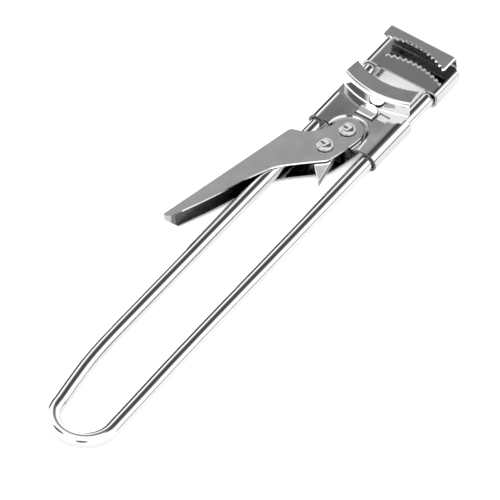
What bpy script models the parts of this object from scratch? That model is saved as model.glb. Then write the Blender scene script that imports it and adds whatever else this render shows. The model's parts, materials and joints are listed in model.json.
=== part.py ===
"""Adjustable jar opener: a U-bent rod handle with a fixed toothed jaw, a sliding jaw and a lever.

The tool lies on its back. +Y runs along the rods towards the fixed jaw, and +Z is the side the
jaws' flanges are on. Inside this script, places are measured from the lever's pivot, at the
height of the rods' axes; the empty "tool_origin" carries them to the part's own frame.
"""
import math

import bmesh
import bpy
from mathutils import Vector

MM = 0.001

# Handle rod
ROD_RADIUS = 3.0 * MM
ROD_X = 13.0 * MM
ROD_END_Y = 48.8 * MM
BEND_CENTRE = (2.1 * MM, -168.5 * MM)
BEND_RADIUS = 11.7 * MM
LIMB_DRIFT = ((13.0, -105.0), (13.15, -130.0), (13.5, -150.0), (13.8, -168.5))
LIMB_DRAW_IN = ((-9.6, -168.5), (-11.1, -158.0), (-12.3, -148.0), (-12.9, -136.0), (-13.0, -120.0))
ROD_SIDES = 16
BEND_STEPS = 20

# Jaw sheets, wrapped round the rods
JAW_SHEET = 1.0 * MM
WRAP_INNER = ROD_RADIUS + 0.3 * MM
WRAP_OUTER = WRAP_INNER + JAW_SHEET
PLATE_TOP = WRAP_OUTER
PLATE_MID = PLATE_TOP - JAW_SHEET / 2
WRAP_STEPS = 12
PLATE_STEPS = 5
JAW_HALF_WIDTH = 14.6 * MM
BEND_ARC_STEPS = 4
WALL_OVERLAP = 2.5 * MM
TOOTH_SLANT = 0.7

# Fixed jaw
FIXED_PLATE_Y = (34.2 * MM, 49.4 * MM)
FIXED_WRAP_TURN = math.radians(236)
FIXED_WALL_Y = 50.6 * MM
FIXED_FLANGE_MID = 9.4 * MM
FIXED_TEETH = 13
FIXED_TOOTH_DEPTH = 1.2 * MM
FIXED_EDGE_Y = 45.8 * MM
FIXED_EDGE_SAGITTA = 3.4 * MM
FIXED_EDGE_CENTRE = -1.6 * MM
FIXED_WALL_FLARE = 1.2 * MM
FIXED_SHOULDER = 2.2 * MM
FIXED_LOWER_BEND = 1.5 * MM
FIXED_UPPER_BEND = 1.0 * MM

# Sliding jaw
SLIDE_WRAP_TURN = math.radians(212)
SLIDE_TOP_Y = 19.8 * MM
SLIDE_RIGHT_TOP_Y = 17.2 * MM
SLIDE_PLATE_TOP_Y = 15.9 * MM
SLIDE_BOTTOM_Y = -6.0 * MM
SLIDE_LEFT_BOTTOM_Y = -1.0 * MM
SLIDE_SLANT_X = (-7.4 * MM, -5.0 * MM)
SLIDE_PLATE_X = 12.6 * MM
SLIDE_RIGHT_X = 12.4 * MM
SLIDE_WALL_Y = 16.2 * MM
SLIDE_WALL_BOW = 3.2 * MM
SLIDE_FLANGE_MID = 10.2 * MM
SLIDE_TEETH = 24
SLIDE_TOOTH_DEPTH = 0.5 * MM
SLIDE_EDGE_Y = 23.4 * MM
SLIDE_EDGE_SAGITTA = 3.6 * MM
SLIDE_CORNER = 1.5 * MM
SLIDE_LOWER_BEND = 1.0 * MM
SLIDE_UPPER_BEND = 1.2 * MM
SLIDE_TAPER = 0.04
SLIDE_PLATE_SAG = 0.2 * MM

# Recess with a round end that the lever's ear turns in
DISH_DEPTH = 1.6 * MM
DISH_FLOOR_RADIUS = 7.0 * MM
DISH_SLOPE = 1.3 * MM
DISH_SPREAD = 0.6 * MM
DISH_END_Y = -9.0 * MM
DISH_STEPS = 20

# Raised D and rectangular window in the sliding jaw's plate
BOSS_X = 1.03 * MM
BOSS_HALF_WIDTH = 3.6 * MM
BOSS_Y = (9.23 * MM, 15.43 * MM)
BOSS_HEIGHT = 0.9 * MM
BOSS_ROUND = 0.5 * MM
BOSS_WALL = 0.9 * MM
WINDOW_X = (5.0 * MM, 9.7 * MM)
WINDOW_Y = (11.0 * MM, 14.4 * MM)

# Sizes of the solids that cut the sheets and the ears
CUT_Z = (-6.0 * MM, 6.0 * MM)
CUT_REACH = 22.0 * MM
CUT_MARGIN = 2.0 * MM

# Lever, a U section open towards the right rod
LEVER_SHEET = 0.8 * MM
LEVER_HALF_HEIGHT = 4.1 * MM
EAR_RADIUS = 6.2 * MM
EAR_TURN = math.radians(172)
LEVER_BEND = 1.3 * MM
LEVER_CORNER = 2.4 * MM
LEVER_WEB = ((-18.0 * MM, -11.6 * MM), (-31.5 * MM, -75.4 * MM))
LEVER_END = (-28.4 * MM, -73.6 * MM)
LEVER_END_ROUND = 0.7 * MM
LEVER_END_SLANT = 6.5 * MM
LEVER_TIP_WALL = 1.7 * MM
LEVER_TIP_MARGIN = 0.5 * MM
LEVER_MOUTH = (
    (-29.0, -72.2), (-20.0, -69.0), (12.0, -25.0), (12.0, 10.0), (-12.0, 10.0), (-20.0, -4.0))
LEVER_SLANT_TOP = 3.0 * MM
LEVER_LEFT_EDGE = ((-6.1, -1.0), (-8.4, -5.4), (-11.0, -8.4), (-13.6, -10.2))
LEVER_RIGHT_EDGE = (
    (-26.6, -69.0), (-22.3, -58.5), (-19.3, -50.2), (-16.5, -42.0), (-14.0, -36.0),
    (-11.8, -31.5), (-8.6, -27.6), (-4.6, -23.6), (0.0, -19.2), (2.4, -16.9),
    (3.4, -14.4), (4.2, -11.6), (5.2, -7.0), (5.9, -3.0))

# Rivets
PIVOT = (0.0, 0.0)
PAWL_PIVOT = (-2.3 * MM, -11.4 * MM)
RIVET_SHANK = 1.9 * MM
RIVET_HOLE = 2.2 * MM
HEAD_RADIUS = 3.3 * MM
HEAD_HEIGHT = 1.3 * MM
DIMPLE_RADIUS = 1.8 * MM
DIMPLE_DEPTH = 0.45 * MM
FOOT_HEIGHT = 0.9 * MM
GAP = 0.3 * MM
RIVET_SIDES = 24

# Spacer, pawl and spring between the ears
SPACER_RADIUS = 3.3 * MM
PAWL_Z = (-0.5 * MM, 2.8 * MM)
PAWL_HUB = 3.2 * MM
PAWL_CORNERS = ((-2.0, -19.4), (5.6, -26.8), (2.8, -11.6))
PAWL_HEEL_ROUND = 0.5 * MM
PAWL_TOE_ROUND = 0.2 * MM
PAWL_SHOULDER_ROUND = 1.5 * MM
SPRING_WIRE = 0.3 * MM
SPRING_RADIUS = 3.0 * MM
SPRING_TURNS = 2.0
SPRING_Z = (-2.65 * MM, -1.15 * MM)
SPRING_SIDES = 6
SPRING_STEPS = 18

# Colours of polished stainless steel
STEEL = (0.72, 0.72, 0.73, 1.0)
DULL_STEEL = (0.55, 0.55, 0.56, 1.0)


def clear_scene():
    for obj in list(bpy.data.objects):
        bpy.data.objects.remove(obj, do_unlink=True)


def steel_material(name, colour, roughness):
    material = bpy.data.materials.new(name)
    material.use_nodes = True
    shader = material.node_tree.nodes["Principled BSDF"]
    shader.inputs["Base Color"].default_value = colour
    shader.inputs["Metallic"].default_value = 1.0
    shader.inputs["Roughness"].default_value = roughness
    return material


def add_object(name, bm, parent, material=None, location=(0.0, 0.0, 0.0)):
    """Turn a bmesh into an object with outward faces and smooth round stretches."""
    bmesh.ops.recalc_face_normals(bm, faces=bm.faces)
    mesh = bpy.data.meshes.new(name)
    bm.to_mesh(mesh)
    bm.free()
    mesh.shade_smooth()
    mesh.set_sharp_from_angle(angle=math.radians(35))
    if material:
        mesh.materials.append(material)
    obj = bpy.data.objects.new(name, mesh)
    bpy.context.scene.collection.objects.link(obj)
    obj.parent = parent
    obj.location = location
    return obj


def add_empty(name, location, parent=None):
    empty = bpy.data.objects.new(name, None)
    empty.parent = parent
    empty.location = location
    bpy.context.scene.collection.objects.link(empty)
    return empty


def combine(obj, tool, operation):
    """Join a guide solid to obj, or cut it away, with an exact boolean."""
    tool.hide_render = True
    tool.display_type = "WIRE"
    modifier = obj.modifiers.new(tool.name, "BOOLEAN")
    modifier.operation = operation
    modifier.solver = "EXACT"
    modifier.object = tool


def circle(centre, radius, start, end, steps):
    """Points on an arc, from one angle to another, both included."""
    points = []
    for i in range(steps + 1):
        angle = start + (end - start) * i / steps
        x = centre[0] + radius * math.cos(angle)
        y = centre[1] + radius * math.sin(angle)
        points.append((x, y))
    return points


def smooth_curve(points, steps):
    """A Catmull-Rom curve through the points, which are in millimetres."""
    result = []
    for i in range(len(points) - 1):
        p0 = points[max(i - 1, 0)]
        p1, p2 = points[i], points[i + 1]
        p3 = points[min(i + 2, len(points) - 1)]
        for j in range(steps):
            t = j / steps
            result.append(tuple(MM * spline_value(p0[k], p1[k], p2[k], p3[k], t) for k in (0, 1)))
    result.append((points[-1][0] * MM, points[-1][1] * MM))
    return result


def spline_value(a, b, c, d, t):
    first = 2 * b
    second = (c - a) * t
    third = (2 * a - 5 * b + 4 * c - d) * t ** 2
    fourth = (3 * b - a - 3 * c + d) * t ** 3
    return (first + second + third + fourth) / 2


def round_corner(before, corner, after, radius, steps):
    """The arc that replaces a corner of a path."""
    to_before = (before[0] - corner[0], before[1] - corner[1])
    to_after = (after[0] - corner[0], after[1] - corner[1])
    length_before = math.hypot(*to_before)
    length_after = math.hypot(*to_after)
    u = (to_before[0] / length_before, to_before[1] / length_before)
    v = (to_after[0] / length_after, to_after[1] / length_after)
    half = math.acos(max(-1.0, min(1.0, u[0] * v[0] + u[1] * v[1]))) / 2
    reach = radius / math.tan(half)
    middle = (u[0] + v[0], u[1] + v[1])
    scale = radius / math.sin(half) / math.hypot(*middle)
    centre = (corner[0] + middle[0] * scale, corner[1] + middle[1] * scale)
    start = (corner[0] + u[0] * reach, corner[1] + u[1] * reach)
    end = (corner[0] + v[0] * reach, corner[1] + v[1] * reach)
    first = math.atan2(start[1] - centre[1], start[0] - centre[0])
    last = math.atan2(end[1] - centre[1], end[0] - centre[0])
    turn = (last - first + math.pi) % (2 * math.pi) - math.pi
    return circle(centre, radius, first, first + turn, steps)


def prism(outline, low, high, axes="XYZ"):
    """Extrude a closed outline. axes names the outline's two axes and then the extrusion's."""
    bm = bmesh.new()
    order = ["XYZ".index(axis) for axis in axes]
    rings = []
    for height in (low, high):
        ring = []
        for point in outline:
            place = [0.0, 0.0, 0.0]
            for axis, value in zip(order, (point[0], point[1], height)):
                place[axis] = value
            ring.append(bm.verts.new(place))
        rings.append(ring)
    bm.faces.new(rings[0])
    bm.faces.new(rings[1])
    for i in range(len(outline)):
        j = (i + 1) % len(outline)
        bm.faces.new((rings[0][i], rings[0][j], rings[1][j], rings[1][i]))
    return bm


def revolve(profile, centre, sides):
    """Turn an (r, z) profile, which starts and ends on the axis, about +Z."""
    bm = bmesh.new()
    rings = []
    for radius, z in profile:
        if radius == 0.0:
            rings.append([bm.verts.new((centre[0], centre[1], z))])
            continue
        turn = circle(centre, radius, 0.0, 2 * math.pi * (sides - 1) / sides, sides - 1)
        rings.append([bm.verts.new((x, y, z)) for x, y in turn])
    for upper, lower in zip(rings, rings[1:]):
        for i in range(sides):
            j = (i + 1) % sides
            corners = [upper[i % len(upper)], upper[j % len(upper)]]
            corners += [lower[j % len(lower)], lower[i % len(lower)]]
            unique = list(dict.fromkeys(corners))
            if len(unique) > 2:
                bm.faces.new(unique)
    return bm


def ring_solid(centre, inner, outer, low, high, sides):
    """A plain tube: a bush or a washer."""
    bm = bmesh.new()
    loops = []
    for radius, z in ((inner, low), (outer, low), (outer, high), (inner, high)):
        turn = circle(centre, radius, 0.0, 2 * math.pi * (sides - 1) / sides, sides - 1)
        loops.append([bm.verts.new((x, y, z)) for x, y in turn])
    for k in range(4):
        a, b = loops[k], loops[(k + 1) % 4]
        for i in range(sides):
            j = (i + 1) % sides
            bm.faces.new((a[i], a[j], b[j], b[i]))
    return bm


def tube(path, radius, sides):
    """Sweep a circle along a path of 3-D points that never runs along +Z for long."""
    bm = bmesh.new()
    points = [Vector(p) for p in path]
    rings = []
    for i, point in enumerate(points):
        ahead = points[min(i + 1, len(points) - 1)]
        behind = points[max(i - 1, 0)]
        along = (ahead - behind).normalized()
        side = along.cross(Vector((0.0, 0.0, 1.0))).normalized()
        up = side.cross(along)
        ring = []
        for k in range(sides):
            angle = 2 * math.pi * k / sides
            offset = side * math.cos(angle) + up * math.sin(angle)
            ring.append(bm.verts.new(point + offset * radius))
        rings.append(ring)
    for a, b in zip(rings, rings[1:]):
        for k in range(sides):
            j = (k + 1) % sides
            bm.faces.new((a[k], a[j], b[j], b[k]))
    bm.faces.new(rings[0])
    bm.faces.new(rings[-1])
    return bm


def wrap_arc(radius, corner, turn):
    """One face of a wrap round the right rod, from its top; its shoulder is rounded by corner."""
    points = []
    for i in range(WRAP_STEPS + 1):
        angle = turn * i / WRAP_STEPS
        flat = radius - corner if angle < math.pi / 2 else 0.0
        reach = radius - flat
        points.append((ROD_X + flat + reach * math.sin(angle), flat + reach * math.cos(angle)))
    return points


def wrap_section(turn, corner=WRAP_OUTER, sag=0.0):
    """Cross-section of a plate whose sides wrap round both rods, as (x, z) points."""
    right = wrap_arc(WRAP_OUTER, corner, turn)
    right += wrap_arc(WRAP_INNER, corner - JAW_SHEET, turn)[::-1]
    left = wrap_arc(WRAP_OUTER, WRAP_OUTER, turn)
    left += wrap_arc(WRAP_INNER, WRAP_INNER, turn)[::-1]
    left = [(-x, z) for x, z in reversed(left)]
    across = [ROD_X * (2 * i / PLATE_STEPS - 1) for i in range(1, PLATE_STEPS)] if sag else []
    top = [(x, WRAP_OUTER - sag * (1 - (x / ROD_X) ** 2)) for x in across]
    bottom = [(x, z - JAW_SHEET) for x, z in reversed(top)]
    return right + bottom + left + top


def toothed_edge(teeth, depth, middle_y, sagitta, towards, centre=0.0):
    """Saw-toothed arc across a jaw, as (x, y) points. towards is +1 or -1 along Y."""
    pitch = 2 * JAW_HALF_WIDTH / teeth
    points = []
    for i in range(teeth):
        root = -JAW_HALF_WIDTH + i * pitch
        for x, back in ((root, depth), (root + TOOTH_SLANT * pitch, 0.0)):
            arc = sagitta * ((x - centre) / JAW_HALF_WIDTH) ** 2
            points.append((x, middle_y + towards * (arc - back)))
    last = sagitta * (1 - centre / JAW_HALF_WIDTH) ** 2
    points.append((JAW_HALF_WIDTH, middle_y + towards * (last - depth)))
    return points


def sheet_offsets(line, half):
    """The two faces of a bent sheet, from its middle line of (y, z) points."""
    upper, lower = [], []
    for i, point in enumerate(line):
        ahead = line[min(i + 1, len(line) - 1)]
        behind = line[max(i - 1, 0)]
        along = (ahead[0] - behind[0], ahead[1] - behind[1])
        length = math.hypot(*along)
        normal = (-along[1] / length * half, along[0] / length * half)
        upper.append((point[0] + normal[0], point[1] + normal[1]))
        lower.append((point[0] - normal[0], point[1] - normal[1]))
    return upper, lower


def jaw_solid(line, edge, bow, flare=0.0, taper=0.0):
    """Loft a bent sheet across the jaw. line ends at the flange; edge gives each column's tip.
    The sheet is wider at the plate than at the flange by flare on the right, and its tip is
    narrower by the share taper."""
    flange_z = line[-1][1]
    bm = bmesh.new()
    columns = []
    for x, tip_y in edge:
        shift = bow * (x / JAW_HALF_WIDTH) ** 2
        bent = [(y + shift, z) for y, z in line]
        bent.append((tip_y, line[-1][1]))
        upper, lower = sheet_offsets(bent, JAW_SHEET / 2)
        loop = upper + lower[::-1]
        wider = flare / JAW_HALF_WIDTH if x > 0 else 0.0
        spread = [1 + wider * (flange_z - z) / flange_z for y, z in loop]
        for k in (len(upper) - 1, len(upper)):
            spread[k] -= taper
        columns.append([bm.verts.new((x * s, y, z)) for s, (y, z) in zip(spread, loop)])
    count = len(columns[0])
    rows = count // 2
    for a, b in zip(columns, columns[1:]):
        for k in range(count):
            j = (k + 1) % count
            bm.faces.new((a[k], a[j], b[j], b[k]))
    for column in (columns[0], columns[-1]):
        for k in range(rows - 1):
            bm.faces.new((column[k], column[k + 1], column[count - 2 - k], column[count - 1 - k]))
    return bm


def jaw_line(start_y, wall_y, flange_z, flange_direction, lower_bend, upper_bend):
    """Middle line of a jaw: plate, bend, wall, bend and the start of the flange."""
    start = (start_y, PLATE_MID)
    foot = (wall_y, PLATE_MID)
    top = (wall_y, flange_z)
    out = (wall_y + flange_direction * 4 * MM, flange_z)
    lower = round_corner(start, foot, top, lower_bend, BEND_ARC_STEPS)
    upper = round_corner(foot, top, out, upper_bend, BEND_ARC_STEPS)
    return [start] + lower + upper


def handle_frame(parent, material):
    """The limbs are straight where the carriage runs, and draw in on the left to the bend."""
    right = [(ROD_X, ROD_END_Y), (ROD_X, 0.0)] + smooth_curve(LIMB_DRIFT, 1)
    bend = circle(BEND_CENTRE, BEND_RADIUS, 0.0, -math.pi, BEND_STEPS)[1:-1]
    left = smooth_curve(LIMB_DRAW_IN, 2) + [(-ROD_X, 0.0), (-ROD_X, ROD_END_Y)]
    path = [(x, y, 0.0) for x, y in right + bend + left]
    return add_object("handle_frame", tube(path, ROD_RADIUS, ROD_SIDES), parent, material)


def fixed_jaw(parent, material):
    section = wrap_section(FIXED_WRAP_TURN, FIXED_SHOULDER)
    jaw = add_object("fixed_jaw", prism(section, *FIXED_PLATE_Y, "XZY"), parent, material)
    line = jaw_line(
        FIXED_PLATE_Y[1] - WALL_OVERLAP, FIXED_WALL_Y, FIXED_FLANGE_MID, -1,
        FIXED_LOWER_BEND, FIXED_UPPER_BEND)
    edge = toothed_edge(
        FIXED_TEETH, FIXED_TOOTH_DEPTH, FIXED_EDGE_Y, FIXED_EDGE_SAGITTA, -1, FIXED_EDGE_CENTRE)
    wall = jaw_solid(line, edge, 0.0, FIXED_WALL_FLARE)
    combine(jaw, add_object("fixed_jaw_wall", wall, parent), "UNION")
    return jaw


def box_solid(x_range, y_range, z_range):
    outline = [(x_range[0], y_range[0]), (x_range[1], y_range[0])]
    outline += [(x_range[1], y_range[1]), (x_range[0], y_range[1])]
    return prism(outline, *z_range)


def dish_outline(radius):
    """Half circle towards the jaw, with straight sides that run out under the lever."""
    foot = [(-radius - DISH_SPREAD, DISH_END_Y), (radius + DISH_SPREAD, DISH_END_Y)]
    return circle(PIVOT, radius, 0.0, math.pi, DISH_STEPS) + foot


def dish_solid(offset, floor, top):
    """The recess's volume, wider towards the top, from its floor up to the given height."""
    low_radius = DISH_FLOOR_RADIUS + offset
    high_radius = low_radius + DISH_SLOPE / DISH_DEPTH * (top - floor)
    bm = bmesh.new()
    lower = [bm.verts.new((x, y, floor)) for x, y in dish_outline(low_radius)]
    upper = [bm.verts.new((x, y, top)) for x, y in dish_outline(high_radius)]
    bm.faces.new(lower)
    bm.faces.new(upper)
    for i in range(len(lower)):
        j = (i + 1) % len(lower)
        bm.faces.new((lower[i], lower[j], upper[j], upper[i]))
    return bm


def flange_corner(side):
    """What is cut away to round one corner of the sliding jaw's flange."""
    edge_x = side * JAW_HALF_WIDTH
    tip_y = SLIDE_EDGE_Y + SLIDE_EDGE_SAGITTA
    centre = (edge_x - side * SLIDE_CORNER, tip_y - SLIDE_CORNER)
    start, end = (0.0, math.pi / 2) if side > 0 else (math.pi, math.pi / 2)
    outline = circle(centre, SLIDE_CORNER, start, end, 4)
    beyond = edge_x + side * CUT_MARGIN
    outline += [(centre[0], tip_y + CUT_MARGIN), (beyond, tip_y + CUT_MARGIN), (beyond, centre[1])]
    return prism(outline, SLIDE_FLANGE_MID - CUT_MARGIN, SLIDE_FLANGE_MID + CUT_MARGIN)


def boss_outline(inset):
    """D outline: straight side towards the lever, round side towards the jaw."""
    half = BOSS_HALF_WIDTH - inset
    low = BOSS_Y[0] + inset
    shoulder = BOSS_Y[1] - BOSS_HALF_WIDTH
    straight = [(BOSS_X - half, low), (BOSS_X + half, low)]
    return straight + circle((BOSS_X, shoulder), half, 0.0, math.pi, 12)


def boss_solid():
    """The raised D, with its upper edge rounded by a second, smaller step."""
    bm = prism(boss_outline(0.0), PLATE_MID, PLATE_TOP + BOSS_HEIGHT)
    top = max(v.co.z for v in bm.verts)
    edges = [e for e in bm.edges if all(abs(v.co.z - top) < 1e-6 for v in e.verts)]
    bmesh.ops.bevel(bm, geom=edges, offset=BOSS_ROUND, segments=2, affect="EDGES", profile=0.5)
    return bm


def sliding_jaw(parent, material):
    far = CUT_REACH
    section = wrap_section(SLIDE_WRAP_TURN, sag=SLIDE_PLATE_SAG)
    jaw = add_object("sliding_jaw", prism(section, -far / 2, SLIDE_TOP_Y, "XZY"), parent, material)
    trims = {
        "trim_plate_top": box_solid((-SLIDE_PLATE_X, SLIDE_PLATE_X), (SLIDE_PLATE_TOP_Y, far), CUT_Z),
        "trim_right_top": box_solid((SLIDE_RIGHT_X, far), (SLIDE_RIGHT_TOP_Y, far), CUT_Z)}
    for name, bm in trims.items():
        combine(jaw, add_object(name, bm, parent), "DIFFERENCE")
    floor = PLATE_TOP - DISH_DEPTH
    below = dish_solid(JAW_SHEET / 2, floor - JAW_SHEET, PLATE_MID)
    above = dish_solid(0.0, floor, PLATE_TOP + JAW_SHEET)
    combine(jaw, add_object("dish_outside", below, parent), "UNION")
    combine(jaw, add_object("dish_inside", above, parent), "DIFFERENCE")
    line = jaw_line(
        SLIDE_WALL_Y - 2 * WALL_OVERLAP, SLIDE_WALL_Y, SLIDE_FLANGE_MID, 1,
        SLIDE_LOWER_BEND, SLIDE_UPPER_BEND)
    edge = toothed_edge(
        SLIDE_TEETH, SLIDE_TOOTH_DEPTH, SLIDE_EDGE_Y, SLIDE_EDGE_SAGITTA, 1)
    wall = jaw_solid(line, edge, SLIDE_WALL_BOW, 0.0, SLIDE_TAPER)
    combine(jaw, add_object("sliding_jaw_wall", wall, parent), "UNION")
    combine(jaw, add_object("raised_d", boss_solid(), parent), "UNION")
    bottom = [(-far, SLIDE_LEFT_BOTTOM_Y), (SLIDE_SLANT_X[0], SLIDE_LEFT_BOTTOM_Y)]
    bottom += [(SLIDE_SLANT_X[1], SLIDE_BOTTOM_Y), (far, SLIDE_BOTTOM_Y), (far, -far), (-far, -far)]
    cuts = {
        "flange_corner_right": flange_corner(1),
        "flange_corner_left": flange_corner(-1),
        "trim_bottom": prism(bottom, *CUT_Z),
        "boss_underside": prism(boss_outline(BOSS_WALL), PLATE_MID - CUT_MARGIN, PLATE_TOP),
        "window": box_solid(WINDOW_X, WINDOW_Y, CUT_Z),
        "pivot_hole": revolve(cylinder_profile(RIVET_HOLE, CUT_Z), PIVOT, RIVET_SIDES)}
    for name, bm in cuts.items():
        combine(jaw, add_object(name, bm, parent), "DIFFERENCE")
    return jaw


def cylinder_profile(radius, z_range):
    low, high = z_range
    return [(0.0, high), (radius, high), (radius, low), (0.0, low)]


def lever_outline():
    """The ears' outline, anticlockwise, and the numbers of the first and last points of its web."""
    ear = circle(PIVOT, EAR_RADIUS, 0.0, EAR_TURN, 16)
    left = smooth_curve(LEVER_LEFT_EDGE, 2)
    right = smooth_curve(LEVER_RIGHT_EDGE, 1)
    top, bottom = LEVER_WEB
    corner = round_corner(left[-1], top, bottom, LEVER_CORNER, 4)
    tip = round_corner(top, bottom, LEVER_END, LEVER_END_ROUND, 3)
    end = round_corner(bottom, LEVER_END, right[0], LEVER_END_ROUND, 3)
    before = ear + left
    return before + corner + tip + end + right, len(before), len(before + corner + tip)


def web_edges(bm, count, first, last):
    """The long edges, above and below, where the ears bend into the web."""
    bm.verts.ensure_lookup_table()
    pairs = [(i, i + 1) for i in range(first, last)]
    pairs += [(i + count, i + 1 + count) for i in range(first, last)]
    return [bm.edges.get((bm.verts[i], bm.verts[j])) for i, j in pairs]


def lever_cavity():
    """What is open between the ears: everything but the web and the closed tip."""
    (x0, y0), (x1, y1) = LEVER_WEB
    length = math.hypot(x1 - x0, y1 - y0)
    along = ((x1 - x0) / length, (y1 - y0) / length)
    inset = (x0 - along[1] * LEVER_SHEET, y0 + along[0] * LEVER_SHEET)
    reach = length - LEVER_TIP_WALL
    start = (inset[0] - along[0] * CUT_MARGIN, inset[1] - along[1] * CUT_MARGIN)
    end = (inset[0] + along[0] * reach, inset[1] + along[1] * reach)
    outline = [start, end] + [(x * MM, y * MM) for x, y in LEVER_MOUTH]
    inner = LEVER_HALF_HEIGHT - LEVER_SHEET
    return prism(outline, -inner, inner)


def end_slant():
    """Wedge that cuts the lever's tip back towards its lower ear."""
    low = -LEVER_HALF_HEIGHT - CUT_MARGIN / 2
    tip = LEVER_WEB[1][1] - LEVER_TIP_MARGIN
    clear = tip - LEVER_END_SLANT
    outline = [(tip, LEVER_SLANT_TOP), (tip + LEVER_END_SLANT, low)]
    outline += [(clear, low), (clear, LEVER_SLANT_TOP)]
    return prism(outline, LEVER_WEB[1][0] - CUT_MARGIN, LEVER_WEB[0][0], "YZX")


def lever(parent, material):
    height = LEVER_HALF_HEIGHT
    outline, first, last = lever_outline()
    bm = prism(outline, -height, height)
    bent = web_edges(bm, len(outline), first, last)
    bmesh.ops.bevel(
        bm, geom=bent, offset=LEVER_BEND, segments=2, affect="EDGES", profile=0.5, clamp_overlap=True)
    obj = add_object("lever", bm, parent, material)
    combine(obj, add_object("lever_inside", lever_cavity(), parent), "DIFFERENCE")
    combine(obj, add_object("lever_end_slant", end_slant(), parent), "DIFFERENCE")
    for name, centre in (("ear_pivot_hole", PIVOT), ("ear_pawl_hole", PAWL_PIVOT)):
        hole = revolve(cylinder_profile(RIVET_HOLE, CUT_Z), centre, RIVET_SIDES)
        combine(obj, add_object(name, hole, parent), "DIFFERENCE")
    return obj


def rivet(name, centre, parent, material):
    """Domed head with a dimple above, plain shank, low formed head below."""
    height = LEVER_HALF_HEIGHT + GAP
    crown = height + HEAD_HEIGHT
    profile = [(0.0, crown - DIMPLE_DEPTH), (DIMPLE_RADIUS * 0.6, crown - DIMPLE_DEPTH * 0.8)]
    profile.append((DIMPLE_RADIUS, crown))
    for i in range(1, 5):
        angle = math.pi / 2 * i / 4
        reach = DIMPLE_RADIUS + (HEAD_RADIUS - DIMPLE_RADIUS) * math.sin(angle)
        profile.append((reach, height + HEAD_HEIGHT * (0.25 + 0.75 * math.cos(angle))))
    profile += [(HEAD_RADIUS, height), (RIVET_SHANK, height), (RIVET_SHANK, -height)]
    foot = -height - FOOT_HEIGHT
    profile += [(HEAD_RADIUS, -height), (HEAD_RADIUS * 0.85, foot), (0.0, foot)]
    return add_object(name, revolve(profile, (0.0, 0.0), RIVET_SIDES), parent, material, (*centre, 0.0))


def pivot_spacer(parent, material):
    low = -LEVER_HALF_HEIGHT + LEVER_SHEET + GAP
    high = PLATE_TOP - DISH_DEPTH - JAW_SHEET - GAP
    bm = ring_solid(PIVOT, RIVET_HOLE, SPACER_RADIUS, low, high, RIVET_SIDES)
    return add_object("pivot_spacer", bm, parent, material)


def pawl(parent, material):
    """Wedge that turns on its rivet; its toe points at the right rod."""
    hub = circle((0.0, 0.0), PAWL_HUB, math.radians(40), math.radians(190), 10)
    corners = [(x * MM - PAWL_PIVOT[0], y * MM - PAWL_PIVOT[1]) for x, y in PAWL_CORNERS]
    heel = round_corner(hub[-1], corners[0], corners[1], PAWL_HEEL_ROUND, 2)
    toe = round_corner(corners[0], corners[1], corners[2], PAWL_TOE_ROUND, 2)
    shoulder = round_corner(corners[1], corners[2], hub[0], PAWL_SHOULDER_ROUND, 3)
    obj = add_object("pawl", prism(hub + heel + toe + shoulder, *PAWL_Z), parent, material)
    hole = revolve(cylinder_profile(RIVET_HOLE, CUT_Z), (0.0, 0.0), RIVET_SIDES)
    combine(obj, add_object("pawl_hole", hole, parent), "DIFFERENCE")
    return obj


def pawl_spring(parent, material):
    """Two turns round the pawl's rivet, with one leg to the lever and one hooked on the pawl."""
    low, high = SPRING_Z
    path = [(-5.0 * MM, SPRING_RADIUS, low), (-2.5 * MM, SPRING_RADIUS, low)]
    count = int(SPRING_STEPS * (SPRING_TURNS + 0.25))
    start = math.pi / 2
    for i in range(count + 1):
        turned = i / SPRING_STEPS
        angle = start + 2 * math.pi * turned
        z = low + (high - low) * min(turned / SPRING_TURNS, 1.0)
        path.append((SPRING_RADIUS * math.cos(angle), SPRING_RADIUS * math.sin(angle), z))
    path += [(-SPRING_RADIUS, -1.3 * MM, high), (-SPRING_RADIUS, -2.2 * MM, high + 0.6 * MM)]
    path.append((-SPRING_RADIUS, -2.5 * MM, high + 1.8 * MM))
    return add_object("pawl_spring", tube(path, SPRING_WIRE, SPRING_SIDES), parent, material)


def frame_offset():
    """Where the tool's own axes sit, so that the part's origin is the middle of its base."""
    web_left = min(x for x, y in lever_outline()[0])
    right = ROD_X + WRAP_OUTER
    low_y = BEND_CENTRE[1] - BEND_RADIUS - ROD_RADIUS
    high_y = FIXED_WALL_Y + JAW_SHEET / 2
    lowest = LEVER_HALF_HEIGHT + GAP + FOOT_HEIGHT
    return (-(web_left + right) / 2, -(low_y + high_y) / 2, lowest)


def build():
    clear_scene()
    bright = steel_material("bright_steel", STEEL, 0.12)
    rivet_steel = steel_material("rivet_steel", STEEL, 0.25)
    dull = steel_material("dull_steel", DULL_STEEL, 0.4)
    tool = add_empty("tool_origin", frame_offset())
    handle_frame(tool, bright)
    fixed_jaw(tool, bright)
    carriage = add_empty("carriage_axis", (0.0, 0.0, 0.0), tool)
    sliding_jaw(carriage, bright)
    pivot_spacer(carriage, dull)
    rivet("pivot_rivet", PIVOT, carriage, rivet_steel)
    lever_axis = add_empty("lever_axis", (*PIVOT, 0.0), carriage)
    lever(lever_axis, bright)
    rivet("pawl_rivet", PAWL_PIVOT, lever_axis, rivet_steel)
    pawl_axis = add_empty("pawl_axis", (*PAWL_PIVOT, 0.0), lever_axis)
    pawl(pawl_axis, dull)
    pawl_spring(pawl_axis, dull)
    bpy.context.view_layer.update()


build()
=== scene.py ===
"""Looks of the adjustable jar opener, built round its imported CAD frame.

Every piece is a fine mesh of polished stainless steel that stands for its CAD node. Places are
measured from the lever's pivot at the height of the rods' axes, and moved to the frame by the
pivot joint's own position.
"""
import json
import math

import bmesh
import bpy
from mathutils import Matrix, Vector


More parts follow.
